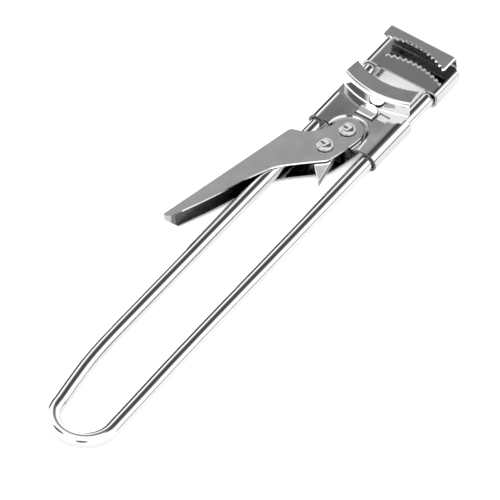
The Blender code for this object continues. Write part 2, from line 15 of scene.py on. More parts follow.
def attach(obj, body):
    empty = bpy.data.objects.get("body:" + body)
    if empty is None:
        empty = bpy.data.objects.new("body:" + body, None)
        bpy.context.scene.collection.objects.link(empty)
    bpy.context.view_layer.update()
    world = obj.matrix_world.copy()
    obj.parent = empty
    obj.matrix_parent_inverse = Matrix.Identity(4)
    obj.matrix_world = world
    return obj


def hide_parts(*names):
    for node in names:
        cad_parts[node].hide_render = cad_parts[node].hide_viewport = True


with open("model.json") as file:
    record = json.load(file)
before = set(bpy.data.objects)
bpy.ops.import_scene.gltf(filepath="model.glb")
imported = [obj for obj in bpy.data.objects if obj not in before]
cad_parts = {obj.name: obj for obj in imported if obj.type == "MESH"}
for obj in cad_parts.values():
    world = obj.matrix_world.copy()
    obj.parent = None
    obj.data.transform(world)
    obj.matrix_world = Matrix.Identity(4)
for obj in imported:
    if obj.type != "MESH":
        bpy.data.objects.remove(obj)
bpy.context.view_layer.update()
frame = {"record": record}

MM = 0.001
JOINTS = {joint["name"]: joint for joint in frame["record"]["behaviour"]["joints"]}
ORIGIN = Vector(JOINTS["lever_turn"]["pos_m"])
PAWL_ORIGIN = Vector(JOINTS["pawl_turn"]["pos_m"])

# Camera, at the photograph's viewing angle
AZIMUTH = math.radians(35.6)
ELEVATION = math.radians(48)
LENS = 600.0
SENSOR = 36.0
VIEW_WIDTH = 187.5 * MM
PIVOT_RIGHT_OF_CENTRE = 36.5 * MM
PIVOT_ABOVE_CENTRE = 44.9 * MM

# Handle rod
ROD_RADIUS = 3.0 * MM
ROD_X = 13.0 * MM
ROD_END_Y = 48.8 * MM
BEND_CENTRE = (2.1 * MM, -168.5 * MM)
BEND_RADIUS = 11.7 * MM
LIMB_DRIFT = ((13.0, -105.0), (13.15, -130.0), (13.5, -150.0), (13.8, -168.5))
LIMB_DRAW_IN = ((-9.6, -168.5), (-11.1, -158.0), (-12.3, -148.0), (-12.9, -136.0), (-13.0, -120.0))
ROD_SIDES = 64
BEND_STEPS = 72
LIMB_STEPS = 12

# Jaw sheets, wrapped round the rods
JAW_SHEET = 1.0 * MM
WRAP_INNER = ROD_RADIUS + 0.3 * MM
WRAP_OUTER = WRAP_INNER + JAW_SHEET
PLATE_TOP = WRAP_OUTER
PLATE_MID = PLATE_TOP - JAW_SHEET / 2
WRAP_STEPS = 44
JAW_HALF_WIDTH = 14.6 * MM
BEND_ARC_STEPS = 10
PLATE_STEPS = 12
TOOTH_SLANT = 0.7
FLANGE_START = 4.0 * MM

# Fixed jaw
FIXED_PLATE_Y = (34.2 * MM, 49.4 * MM)
FIXED_WRAP_TURN = math.radians(236)
FIXED_WALL_Y = 50.6 * MM
FIXED_WALL_OVERLAP = 1.5 * MM
FIXED_FLANGE_MID = 9.4 * MM
FIXED_TEETH = 13
FIXED_TOOTH_DEPTH = 1.2 * MM
FIXED_EDGE_Y = 45.8 * MM
FIXED_EDGE_SAGITTA = 3.4 * MM
FIXED_EDGE_CENTRE = -1.6 * MM
FIXED_WALL_FLARE = 1.2 * MM
FIXED_SHOULDER = 2.2 * MM
FIXED_LOWER_BEND = 1.5 * MM
FIXED_UPPER_BEND = 1.0 * MM

# Sliding jaw
SLIDE_WRAP_TURN = math.radians(212)
SLIDE_TOP_Y = 19.8 * MM
SLIDE_RIGHT_TOP_Y = 17.2 * MM
SLIDE_PLATE_TOP_Y = 15.9 * MM
SLIDE_BOTTOM_Y = -6.0 * MM
SLIDE_LEFT_BOTTOM_Y = -0.8 * MM  # 0.2 mm short of the CAD's, to clear the open lever
SLIDE_START_Y = -14.0 * MM
SLIDE_PLATE_X = 12.6 * MM
SLIDE_RIGHT_X = 12.4 * MM
SLIDE_SLANT_X = (-7.4 * MM, -5.0 * MM)
SLIDE_WALL_Y = 16.2 * MM
SLIDE_WALL_BOW = 3.2 * MM
SLIDE_WALL_OVERLAP = 5.0 * MM
SLIDE_FLANGE_MID = 10.2 * MM
SLIDE_TEETH = 24
SLIDE_TOOTH_DEPTH = 0.5 * MM
SLIDE_EDGE_Y = 23.4 * MM
SLIDE_EDGE_SAGITTA = 3.6 * MM
SLIDE_CORNER = 1.5 * MM
SLIDE_LOWER_BEND = 1.0 * MM
SLIDE_UPPER_BEND = 1.2 * MM
SLIDE_TAPER = 0.04
SLIDE_PLATE_SAG = 0.2 * MM

# Recess with a round end that the lever's ear turns in
DISH_DEPTH = 1.6 * MM
DISH_FLOOR_RADIUS = 7.0 * MM
DISH_SLOPE = 1.3 * MM
DISH_SPREAD = 0.6 * MM
DISH_OUTSIDE = 0.5 * MM
DISH_END_Y = -9.0 * MM
DISH_RIM = 1.1 * MM
DISH_RIM_DEPTH = 0.3 * MM
DISH_STEPS = 72

# Raised D and rectangular window in the sliding jaw's plate
BOSS_X = 1.03 * MM
BOSS_HALF_WIDTH = 3.6 * MM
BOSS_Y = (9.23 * MM, 15.43 * MM)
BOSS_HEIGHT = 0.9 * MM
BOSS_ROUND = 0.5 * MM
BOSS_WALL = 0.9 * MM
BOSS_STEPS = 32
GROOVE = 0.45 * MM
GROOVE_DEPTH = 0.5 * MM
GROOVE_ABOVE = 0.2 * MM
GROOVE_NEAR = 0.6 * MM
GROOVE_FLOOR = 0.25 * MM
WINDOW_X = (5.0 * MM, 9.7 * MM)
WINDOW_Y = (11.0 * MM, 14.4 * MM)

# Lever, a U section open towards the right rod
LEVER_SHEET = 0.8 * MM
LEVER_HALF_HEIGHT = 4.1 * MM
EAR_RADIUS = 6.2 * MM
LEVER_BEND = 1.3 * MM
LEVER_CORNER = 2.4 * MM
LEVER_WEB = ((-18.0 * MM, -11.6 * MM), (-31.5 * MM, -75.4 * MM))
LEVER_END = (-28.4 * MM, -73.6 * MM)
LEVER_END_ROUND = 0.7 * MM
LEVER_END_SLANT = 6.5 * MM
LEVER_SLANT_TOP = 3.0 * MM
LEVER_TIP_WALL = 1.7 * MM
LEVER_TIP_MARGIN = 0.5 * MM
LEVER_MOUTH = (
    (-29.0, -72.2), (-20.0, -69.0), (12.0, -25.0), (12.0, 10.0), (-12.0, 10.0), (-20.0, -4.0))
EAR_TURN = math.radians(172)
EAR_STEPS = 48
LEVER_LEFT_EDGE = ((-6.1, -1.0), (-8.4, -5.4), (-11.0, -8.4), (-13.6, -10.2))
LEVER_RIGHT_EDGE = (
    (-26.6, -69.0), (-22.3, -58.5), (-19.3, -50.2), (-16.5, -42.0), (-14.0, -36.0),
    (-11.8, -31.5), (-8.6, -27.6), (-4.6, -23.6), (0.0, -19.2), (2.4, -16.9),
    (3.4, -14.4), (4.2, -11.6), (5.2, -7.0), (5.9, -3.0))

# Rivets
PIVOT = (0.0, 0.0)
PAWL_PIVOT = (PAWL_ORIGIN.x - ORIGIN.x, PAWL_ORIGIN.y - ORIGIN.y)
RIVET_SHANK = 1.9 * MM
RIVET_HOLE = 2.2 * MM
HEAD_RADIUS = 3.3 * MM
HEAD_HEIGHT = 1.3 * MM
DIMPLE_RADIUS = 1.8 * MM
DIMPLE_DEPTH = 0.45 * MM
FOOT_HEIGHT = 0.9 * MM
GAP = 0.3 * MM
HEAD_STEPS = 12
HEAD_EDGE = 0.05 * MM
RIVET_SIDES = 72

# Spacer, pawl and spring between the ears
SPACER_RADIUS = 3.3 * MM
PAWL_Z = (-0.5 * MM, 2.8 * MM)
PAWL_HUB = 3.2 * MM
PAWL_CORNERS = ((-2.0, -19.4), (5.6, -26.8), (2.8, -11.6))
PAWL_HUB_TURN = (math.radians(40), math.radians(190))
PAWL_HUB_STEPS = 36
PAWL_HEEL_ROUND = 0.5 * MM
PAWL_TOE_ROUND = 0.2 * MM
PAWL_SHOULDER_ROUND = 1.5 * MM
SPACER_EDGE = 0.1 * MM
SPRING_WIRE = 0.3 * MM
SPRING_RADIUS = 3.0 * MM
SPRING_TURNS = 2.0
SPRING_Z = (-2.65 * MM, -1.15 * MM)
SPRING_SIDES = 16
SPRING_STEPS = 48
SPRING_ARM = (-5.0 * MM, -2.5 * MM)
SPRING_HOOK = ((-1.3, 0.0), (-2.2, 0.6), (-2.5, 1.8))
SPRING_EDGE = 0.05 * MM

# Softened edges of the sheet and the pawl
SHEET_EDGE = 0.14 * MM
PAWL_EDGE = 0.2 * MM

# Solids that cut reach this far
CUT_Z = (-6.0 * MM, 6.0 * MM)
CUT_REACH = 22.0 * MM
CUT_MARGIN = 2.0 * MM
WELD = 0.002 * MM

# Steel's smears, slow waves and fine grain
SMEAR_SIZE = 5.0 * MM
SMEAR_TONE = 0.94
SMEAR_GLOSS = 0.3
WAVE_SIZE = 14.0 * MM
WAVE_HEIGHT = 1.0 * MM
GRAIN_SIZE = 0.4 * MM
GRAIN_HEIGHT = 0.05 * MM

# Light: a bright tent, and the patches in it that the steel reflects as bands. Each patch is the
# direction of its middle and its (cosine from the middle, grey) stops
TENT_STRENGTH = 2.3
PATCHES = (
    ((-0.20, 0.55, 0.81), ((0.925, 1.0), (0.955, 0.5), (0.979, 0.22), (1.0, 0.05))),
    ((-0.83, 0.54, 0.10), ((0.91, 1.0), (0.955, 0.04))),
    ((-0.60, -0.34, 0.72), ((0.965, 1.0), (0.985, 0.1))),
    ((0.36, -0.78, 0.51), ((0.955, 1.0), (0.985, 0.12))),
    ((0.17, 0.544, 0.82), ((0.960, 1.0), (0.980, 0.12))),
    ((0.836, 0.544, 0.05), ((0.9925, 1.0), (0.996, 0.08))))
FLOOR_HALF = 3.0
FLOOR_THICKNESS = 0.02


# ---------------------------------------------------------------- outlines

def circle(centre, radius, start, end, steps):
    """Points on an arc, from one angle to another, both included."""
    points = []
    for i in range(steps + 1):
        angle = start + (end - start) * i / steps
        x = centre[0] + radius * math.cos(angle)
        y = centre[1] + radius * math.sin(angle)
        points.append((x, y))
    return points


def spline_value(a, b, c, d, t):
    """One coordinate of a Catmull-Rom curve, a share t of the way from b to c."""
    first = 2 * b
    second = (c - a) * t
    third = (2 * a - 5 * b + 4 * c - d) * t ** 2
    fourth = (3 * b - a - 3 * c + d) * t ** 3
    return (first + second + third + fourth) / 2


def smooth_curve(points, steps):
    """A Catmull-Rom curve through the points, which are in millimetres."""
    result = []
    for i in range(len(points) - 1):
        p0 = points[max(i - 1, 0)]
        p1, p2 = points[i], points[i + 1]
        p3 = points[min(i + 2, len(points) - 1)]
        for j in range(steps):
            t = j / steps
            result.append(tuple(MM * spline_value(p0[k], p1[k], p2[k], p3[k], t) for k in (0, 1)))
    result.append((points[-1][0] * MM, points[-1][1] * MM))
    return result


def round_corner(before, corner, after, radius, steps):
    """The arc that replaces a corner of a path."""
    to_before = (before[0] - corner[0], before[1] - corner[1])
    to_after = (after[0] - corner[0], after[1] - corner[1])
    length_before = math.hypot(*to_before)
    length_after = math.hypot(*to_after)
    u = (to_before[0] / length_before, to_before[1] / length_before)
    v = (to_after[0] / length_after, to_after[1] / length_after)
    half = math.acos(max(-1.0, min(1.0, u[0] * v[0] + u[1] * v[1]))) / 2
    reach = radius / math.tan(half)
    middle = (u[0] + v[0], u[1] + v[1])
    scale = radius / math.sin(half) / math.hypot(*middle)
    centre = (corner[0] + middle[0] * scale, corner[1] + middle[1] * scale)
    start = (corner[0] + u[0] * reach, corner[1] + u[1] * reach)
    end = (corner[0] + v[0] * reach, corner[1] + v[1] * reach)
    first = math.atan2(start[1] - centre[1], start[0] - centre[0])
    last = math.atan2(end[1] - centre[1], end[0] - centre[0])
    turn = (last - first + math.pi) % (2 * math.pi) - math.pi
    return circle(centre, radius, first, first + turn, steps)


# ---------------------------------------------------------------- solids

def prism(outline, low, high, axes="XYZ"):
    """Extrude a closed outline. axes names the outline's two axes and then the extrusion's."""
    bm = bmesh.new()
    order = ["XYZ".index(axis) for axis in axes]
    rings = []
    for height in (low, high):
        ring = []
        for point in outline:
            place = [0.0, 0.0, 0.0]
            for axis, value in zip(order, (point[0], point[1], height)):
                place[axis] = value
            ring.append(bm.verts.new(place))
        rings.append(ring)
    bm.faces.new(rings[0])
    bm.faces.new(rings[1])
    for i in range(len(outline)):
        j = (i + 1) % len(outline)
        bm.faces.new((rings[0][i], rings[0][j], rings[1][j], rings[1][i]))
    return bm


def box_solid(x_range, y_range, z_range):
    outline = [(x_range[0], y_range[0]), (x_range[1], y_range[0])]
    outline += [(x_range[1], y_range[1]), (x_range[0], y_range[1])]
    return prism(outline, *z_range)


def revolve(profile, centre, sides):
    """Turn an (r, z) profile, which starts and ends on the axis, about +Z."""
    bm = bmesh.new()
    rings = []
    for radius, z in profile:
        if radius == 0.0:
            rings.append([bm.verts.new((centre[0], centre[1], z))])
            continue
        turn = circle(centre, radius, 0.0, 2 * math.pi * (sides - 1) / sides, sides - 1)
        rings.append([bm.verts.new((x, y, z)) for x, y in turn])
    for upper, lower in zip(rings, rings[1:]):
        for i in range(sides):
            j = (i + 1) % sides
            corners = [upper[i % len(upper)], upper[j % len(upper)]]
            corners += [lower[j % len(lower)], lower[i % len(lower)]]
            unique = list(dict.fromkeys(corners))
            if len(unique) > 2:
                bm.faces.new(unique)
    return bm


def cylinder(centre, radius, z_range):
    low, high = z_range
    return revolve([(0.0, high), (radius, high), (radius, low), (0.0, low)], centre, RIVET_SIDES)


def ring_solid(centre, inner, outer, low, high, sides):
    """A plain tube, such as a bush."""
    bm = bmesh.new()
    loops = []
    for radius, z in ((inner, low), (outer, low), (outer, high), (inner, high)):
        turn = circle(centre, radius, 0.0, 2 * math.pi * (sides - 1) / sides, sides - 1)
        loops.append([bm.verts.new((x, y, z)) for x, y in turn])
    for k in range(4):
        a, b = loops[k], loops[(k + 1) % 4]
        for i in range(sides):
            j = (i + 1) % sides
            bm.faces.new((a[i], a[j], b[j], b[i]))
    return bm


def tube(path, radius, sides):
    """Sweep a circle along a path of 3-D points that never runs along +Z for long."""
    bm = bmesh.new()
    points = [Vector(p) for p in path]
    rings = []
    for i, point in enumerate(points):
        ahead = points[min(i + 1, len(points) - 1)]
        behind = points[max(i - 1, 0)]
        along = (ahead - behind).normalized()
        side = along.cross(Vector((0.0, 0.0, 1.0))).normalized()
        up = side.cross(along)
        ring = []
        for k in range(sides):
            angle = 2 * math.pi * k / sides
            offset = side * math.cos(angle) + up * math.sin(angle)
            ring.append(bm.verts.new(point + offset * radius))
        rings.append(ring)
    for a, b in zip(rings, rings[1:]):
        for k in range(sides):
            j = (k + 1) % sides
            bm.faces.new((a[k], a[j], b[j], b[k]))
    bm.faces.new(rings[0])
    bm.faces.new(rings[-1])
    return bm


# ---------------------------------------------------------------- objects

def loose_object(name, bm):
    """An object from a bmesh, with its faces turned outwards."""
    bmesh.ops.recalc_face_normals(bm, faces=bm.faces)
    mesh = bpy.data.meshes.new(name)
    bm.to_mesh(mesh)
    bm.free()
    obj = bpy.data.objects.new(name, mesh)
    bpy.context.scene.collection.objects.link(obj)
    return obj


def combined(obj, steps):
    """Join or cut obj with each solid in turn, exactly, and keep the result as plain mesh."""
    tools = []
    for operation, bm in steps:
        tool = loose_object(obj.name + "_tool", bm)
        modifier = obj.modifiers.new("step", "BOOLEAN")
        modifier.operation = operation
        modifier.solver = "EXACT"
        modifier.object = tool
        tools.append(tool)
    bpy.context.view_layer.update()
    evaluated = obj.evaluated_get(bpy.context.evaluated_depsgraph_get())
    mesh = bpy.data.meshes.new_from_object(evaluated)
    obj.modifiers.clear()
    obj.data = mesh
    for tool in tools:
        bpy.data.objects.remove(tool, do_unlink=True)
    bm = bmesh.new()
    bm.from_mesh(mesh)
    bmesh.ops.remove_doubles(bm, verts=bm.verts, dist=WELD)
    bmesh.ops.dissolve_degenerate(bm, edges=bm.edges, dist=WELD)
    bm.to_mesh(mesh)
    bm.free()
    return obj


def finish_piece(obj, node, body, material, edge=0.0):
    """Shade a piece, soften its edges, and hand it to the body and node that it stands for."""
    obj.data.shade_smooth()
    obj.data.set_sharp_from_angle(angle=math.radians(28))
    obj.data.materials.clear()
    obj.data.materials.append(material)
    if edge:
        bevel = obj.modifiers.new("softened_edges", "BEVEL")
        bevel.width = edge
        bevel.segments = 2
        bevel.limit_method = "ANGLE"
        bevel.angle_limit = math.radians(40)
        bevel.use_clamp_overlap = True
        bevel.harden_normals = True
    flat = obj.modifiers.new("flat_faces", "WEIGHTED_NORMAL")
    flat.keep_sharp = True
    obj.location = ORIGIN
    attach(obj, body)
    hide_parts(node)
    return obj


def paint_faces(obj, material, wanted):
    """Give a second material to the faces whose centre and normal are wanted; here it always carries
    painted shade or a painted highlight.
    """
    obj.data.materials.append(material)
    index = len(obj.data.materials) - 1
    for face in obj.data.polygons:
        if wanted(face.center, face.normal):
            face.material_index = index


# ---------------------------------------------------------------- pieces

def handle_rod(material):
    """The limbs are straight where the carriage runs, and draw in on the left to the bend."""
    right = [(ROD_X, ROD_END_Y)] + smooth_curve(LIMB_DRIFT, LIMB_STEPS)
    bend = circle(BEND_CENTRE, BEND_RADIUS, 0.0, -math.pi, BEND_STEPS)[1:-1]
    left = smooth_curve(LIMB_DRAW_IN, LIMB_STEPS) + [(-ROD_X, ROD_END_Y)]
    path = [(x, y, 0.0) for x, y in right + bend + left]
    obj = loose_object("handle_rod", tube(path, ROD_RADIUS, ROD_SIDES))
    return finish_piece(obj, "handle_frame", "frame", material, SHEET_EDGE)


def wrap_arc(radius, corner, turn):
    """One face of a wrap round the right rod, from its top; its shoulder is rounded by corner."""
    points = []
    for i in range(WRAP_STEPS + 1):
        angle = turn * i / WRAP_STEPS
        flat = radius - corner if angle < math.pi / 2 else 0.0
        reach = radius - flat
        points.append((ROD_X + flat + reach * math.sin(angle), flat + reach * math.cos(angle)))
    return points


def wrap_section(turn, corner=WRAP_OUTER, sag=0.0):
    """Cross-section of a plate whose sides wrap round both rods, as (x, z) points."""
    right = wrap_arc(WRAP_OUTER, corner, turn)
    right += wrap_arc(WRAP_INNER, corner - JAW_SHEET, turn)[::-1]
    left = wrap_arc(WRAP_OUTER, WRAP_OUTER, turn)
    left += wrap_arc(WRAP_INNER, WRAP_INNER, turn)[::-1]
    left = [(-x, z) for x, z in reversed(left)]
    across = [ROD_X * i / PLATE_STEPS for i in range(1 - PLATE_STEPS, PLATE_STEPS)]
    top = [(x, WRAP_OUTER - sag * (1 - (x / ROD_X) ** 2)) for x in across]
    bottom = [(x, z - JAW_SHEET) for x, z in reversed(top)]
    return right + bottom + left + top


def toothed_edge(teeth, depth, middle_y, sagitta, towards, centre=0.0):
    """Saw-toothed arc across a jaw, as (x, y) points. towards is +1 or -1 along Y."""
    pitch = 2 * JAW_HALF_WIDTH / teeth
    points = []
    for i in range(teeth):
        root = -JAW_HALF_WIDTH + i * pitch
        for x, back in ((root, depth), (root + TOOTH_SLANT * pitch, 0.0)):
            arc = sagitta * ((x - centre) / JAW_HALF_WIDTH) ** 2
            points.append((x, middle_y + towards * (arc - back)))
    last = sagitta * (1 - centre / JAW_HALF_WIDTH) ** 2
    points.append((JAW_HALF_WIDTH, middle_y + towards * (last - depth)))
    return points


def sheet_offsets(line, half):
    """The two faces of a bent sheet, from its middle line of (y, z) points."""
    upper, lower = [], []
    for i, point in enumerate(line):
        ahead = line[min(i + 1, len(line) - 1)]
        behind = line[max(i - 1, 0)]
        along = (ahead[0] - behind[0], ahead[1] - behind[1])
        length = math.hypot(*along)
        normal = (-along[1] / length * half, along[0] / length * half)
        upper.append((point[0] + normal[0], point[1] + normal[1]))
        lower.append((point[0] - normal[0], point[1] - normal[1]))
    return upper, lower


def jaw_solid(line, edge, bow, flare=0.0, taper=0.0):
    """Loft a bent sheet across the jaw. line ends at the flange; edge gives each column's tip.
    The sheet is wider at the plate than at the flange by flare on the right, and its tip is
    narrower by the share taper."""
    flange_z = line[-1][1]
    bm = bmesh.new()
    columns = []
    for x, tip_y in edge:
        shift = bow * (x / JAW_HALF_WIDTH) ** 2
        bent = [(y + shift, z) for y, z in line]
        bent.append((tip_y, line[-1][1]))
        upper, lower = sheet_offsets(bent, JAW_SHEET / 2)
        loop = upper + lower[::-1]
        wider = flare / JAW_HALF_WIDTH if x > 0 else 0.0
        spread = [1 + wider * (flange_z - z) / flange_z for y, z in loop]
        for k in (len(upper) - 1, len(upper)):
            spread[k] -= taper
        columns.append([bm.verts.new((x * s, y, z)) for s, (y, z) in zip(spread, loop)])
    count = len(columns[0])
    rows = count // 2
    for a, b in zip(columns, columns[1:]):
        for k in range(count):
            j = (k + 1) % count
            bm.faces.new((a[k], a[j], b[j], b[k]))
    for column in (columns[0], columns[-1]):
        for k in range(rows - 1):
            bm.faces.new((column[k], column[k + 1], column[count - 2 - k], column[count - 1 - k]))
    return bm


def jaw_line(start_y, wall_y, flange_z, flange_direction, lower_bend, upper_bend):
    """Middle line of a jaw: plate, bend, wall, bend and the start of the flange."""
    start = (start_y, PLATE_MID)
    foot = (wall_y, PLATE_MID)
    top = (wall_y, flange_z)
    out = (wall_y + flange_direction * FLANGE_START, flange_z)
    lower = round_corner(start, foot, top, lower_bend, BEND_ARC_STEPS)
    upper = round_corner(foot, top, out, upper_bend, BEND_ARC_STEPS)
    return [start] + lower + upper


def in_wrap(centre, normal):
    """Whether a face is inside a wrap, or is the end of one."""
    from_rod = math.hypot(abs(centre.x) - ROD_X, centre.z)
    inside = from_rod < WRAP_INNER + 0.1 * MM
    end = normal.y < -0.9 and from_rod < WRAP_OUTER and abs(centre.x) > 10 * MM
    return centre.z < PLATE_TOP and (inside or end)


def fixed_jaw_sheet(material, inner, bright, shade):
    """Plate round both rods, wall and toothed flange, with painted shade inside the wall, under the
    flange and in the wraps, and a painted highlight on the teeth's cut edges.
    """
    section = wrap_section(FIXED_WRAP_TURN, FIXED_SHOULDER)
    obj = loose_object("fixed_jaw_sheet", prism(section, *FIXED_PLATE_Y, "XZY"))
    line = jaw_line(
        FIXED_PLATE_Y[1] - FIXED_WALL_OVERLAP, FIXED_WALL_Y, FIXED_FLANGE_MID, -1,
        FIXED_LOWER_BEND, FIXED_UPPER_BEND)
    edge = toothed_edge(
        FIXED_TEETH, FIXED_TOOTH_DEPTH, FIXED_EDGE_Y, FIXED_EDGE_SAGITTA, -1, FIXED_EDGE_CENTRE)
    combined(obj, [("UNION", jaw_solid(line, edge, 0.0, FIXED_WALL_FLARE))])
    finish_piece(obj, "fixed_jaw", "frame", material, SHEET_EDGE)
    low = PLATE_TOP - 0.05 * MM
    high = FIXED_FLANGE_MID - JAW_SHEET / 2 + 0.05 * MM
    back = FIXED_WALL_Y - 0.1 * MM
    # Painted shade: the inside of the wall and the underside of the flange are a darker grey
    paint_faces(obj, inner, lambda c, n: low < c.z < high and c.y < back)
    top = FIXED_FLANGE_MID + JAW_SHEET / 2
    # Painted highlight: the cut edges of the toothed flange are much lighter
    paint_faces(obj, bright, lambda c, n: high < c.z < top and n.z < 0.5 and c.y < back - 2 * MM)
    # Painted shade: the insides and ends of the wraps are near black
    paint_faces(obj, shade, in_wrap)


def dish_outline(radius):
    """Half circle towards the jaw, with straight sides that run out under the lever."""
    foot = [(-radius - DISH_SPREAD, DISH_END_Y), (radius + DISH_SPREAD, DISH_END_Y)]
    return circle(PIVOT, radius, 0.0, math.pi, DISH_STEPS) + foot


def frustum(low_radius, high_radius, low, high):
    """A solid that widens from one recess outline to another."""
    bm = bmesh.new()
    lower = [bm.verts.new((x, y, low)) for x, y in dish_outline(low_radius)]
    upper = [bm.verts.new((x, y, high)) for x, y in dish_outline(high_radius)]
    bm.faces.new(lower)
    bm.faces.new(upper)
    for i in range(len(lower)):
        j = (i + 1) % len(lower)
        bm.faces.new((lower[i], lower[j], upper[j], upper[i]))
    return bm


def dish_solid(offset, floor, top):
    """The recess's volume, wider towards the top, from its floor up to the given height."""
    low_radius = DISH_FLOOR_RADIUS + offset
    return frustum(low_radius, low_radius + DISH_SLOPE / DISH_DEPTH * (top - floor), floor, top)


def flange_corner(side):
    """What is cut away to round one corner of the sliding jaw's flange."""
    edge_x = side * JAW_HALF_WIDTH
    tip_y = SLIDE_EDGE_Y + SLIDE_EDGE_SAGITTA
    centre = (edge_x - side * SLIDE_CORNER, tip_y - SLIDE_CORNER)
    start, end = (0.0, math.pi / 2) if side > 0 else (math.pi, math.pi / 2)
    outline = circle(centre, SLIDE_CORNER, start, end, 12)
    beyond = edge_x + side * CUT_MARGIN
    outline += [(centre[0], tip_y + CUT_MARGIN), (beyond, tip_y + CUT_MARGIN), (beyond, centre[1])]
    return prism(outline, SLIDE_FLANGE_MID - CUT_MARGIN, SLIDE_FLANGE_MID + CUT_MARGIN)


def boss_outline(inset):
    """D outline: straight side towards the lever, round side towards the jaw."""
    half = BOSS_HALF_WIDTH - inset
    low = BOSS_Y[0] + inset
    shoulder = BOSS_Y[1] - BOSS_HALF_WIDTH
    straight = [(BOSS_X - half, low), (BOSS_X + half, low)]
    return straight + circle((BOSS_X, shoulder), half, 0.0, math.pi, BOSS_STEPS)


def boss_solid():
    """The raised D, with its upper edge rounded."""
    bm = prism(boss_outline(0.0), PLATE_MID, PLATE_TOP + BOSS_HEIGHT)
    top = max(v.co.z for v in bm.verts)
    edges = [e for e in bm.edges if all(abs(v.co.z - top) < 1e-6 for v in e.verts)]
    bmesh.ops.bevel(bm, geom=edges, offset=BOSS_ROUND, segments=6, affect="EDGES", profile=0.5)
    return bm


def in_groove(centre, normal):
    """Whether a face is in the fine groove round the raised D."""
    low = PLATE_TOP - GROOVE_NEAR
    deep = low < centre.z < PLATE_TOP - GROOVE_FLOOR
    side = low < centre.z < PLATE_TOP + GAP and normal.x > 0.2
    near = abs(centre.x - BOSS_X) < BOSS_HALF_WIDTH + GROOVE_NEAR
    within = BOSS_Y[0] - GROOVE_NEAR < centre.y < BOSS_Y[1] + GROOVE_ABOVE
    return (deep or side) and near and within


def on_boss(centre, normal):
    """Whether a face is on top of the raised D."""
    high = PLATE_TOP + BOSS_HEIGHT - 0.1 * MM < centre.z < PLATE_TOP + BOSS_HEIGHT + 0.1 * MM
    within = BOSS_Y[0] < centre.y < BOSS_Y[1] and abs(centre.x - BOSS_X) < BOSS_HALF_WIDTH
    return high and within and normal.z > 0.5


def sliding_jaw_sheet(material, bright, shade):
    """Plate round both rods with its recess, raised D and window, then the wall and flange."""
    far = CUT_REACH
    section = wrap_section(SLIDE_WRAP_TURN, sag=SLIDE_PLATE_SAG)
    obj = loose_object("sliding_jaw_sheet", prism(section, SLIDE_START_Y, SLIDE_TOP_Y, "XZY"))
    floor = PLATE_TOP - DISH_DEPTH
    below = dish_solid(DISH_OUTSIDE, floor - JAW_SHEET, PLATE_MID)
    above = dish_solid(0.0, floor, PLATE_TOP + JAW_SHEET)
    rim = DISH_FLOOR_RADIUS + DISH_SLOPE
    line = jaw_line(
        SLIDE_WALL_Y - SLIDE_WALL_OVERLAP, SLIDE_WALL_Y, SLIDE_FLANGE_MID, 1,
        SLIDE_LOWER_BEND, SLIDE_UPPER_BEND)
    edge = toothed_edge(
        SLIDE_TEETH, SLIDE_TOOTH_DEPTH, SLIDE_EDGE_Y, SLIDE_EDGE_SAGITTA, 1)
    bottom = [(-far, SLIDE_LEFT_BOTTOM_Y), (SLIDE_SLANT_X[0], SLIDE_LEFT_BOTTOM_Y)]
    bottom += [(SLIDE_SLANT_X[1], SLIDE_BOTTOM_Y), (far, SLIDE_BOTTOM_Y), (far, -far), (-far, -far)]
    groove = prism(boss_outline(-GROOVE), PLATE_TOP - GROOVE_DEPTH, PLATE_TOP + GROOVE_ABOVE)
    combined(obj, [
        ("DIFFERENCE", box_solid((-SLIDE_PLATE_X, SLIDE_PLATE_X), (SLIDE_PLATE_TOP_Y, far), CUT_Z)),
        ("DIFFERENCE", box_solid((SLIDE_RIGHT_X, far), (SLIDE_RIGHT_TOP_Y, far), CUT_Z)),
        ("UNION", below),
        ("DIFFERENCE", above),
        ("DIFFERENCE", frustum(rim, rim + DISH_RIM, PLATE_TOP - DISH_RIM_DEPTH, PLATE_TOP)),
        ("UNION", jaw_solid(line, edge, SLIDE_WALL_BOW, 0.0, SLIDE_TAPER)),
        ("DIFFERENCE", flange_corner(1)),
        ("DIFFERENCE", flange_corner(-1)),
        ("DIFFERENCE", groove),
        ("UNION", boss_solid()),
        ("DIFFERENCE", prism(bottom, *CUT_Z)),
        ("DIFFERENCE", prism(boss_outline(BOSS_WALL), PLATE_MID - CUT_MARGIN, PLATE_TOP)),
        ("DIFFERENCE", box_solid(WINDOW_X, WINDOW_Y, CUT_Z)),
        ("DIFFERENCE", cylinder(PIVOT, RIVET_HOLE, CUT_Z))])
    finish_piece(obj, "sliding_jaw", "carriage", material, SHEET_EDGE)
    low = PLATE_TOP + 0.1 * MM
    high = SLIDE_FLANGE_MID - JAW_SHEET / 2
    foot = BOSS_Y[1] - 0.3 * MM
    # Painted highlight: the front of the wall is much lighter
    paint_faces(obj, bright, lambda c, n: low < c.z < high and n.y < -0.2 and c.y > foot)
    # Painted highlight: the top of the raised D is much lighter
    paint_faces(obj, bright, on_boss)
    # Painted shade: the insides of the wraps and the groove round the raised D are near black
    paint_faces(obj, shade, lambda c, n: in_wrap(c, n) or in_groove(c, n))


def lever_outline():
    """The ears' outline, anticlockwise, and the numbers of the first and last points of its web."""
    ear = circle(PIVOT, EAR_RADIUS, 0.0, EAR_TURN, EAR_STEPS)
    left = smooth_curve(LEVER_LEFT_EDGE, 6)
    right = smooth_curve(LEVER_RIGHT_EDGE, 4)
    top, bottom = LEVER_WEB
    corner = round_corner(left[-1], top, bottom, LEVER_CORNER, 10)
    tip = round_corner(top, bottom, LEVER_END, LEVER_END_ROUND, 8)
    end = round_corner(bottom, LEVER_END, right[0], LEVER_END_ROUND, 8)
    before = ear + left
    return before + corner + tip + end + right, len(before), len(before + corner + tip)


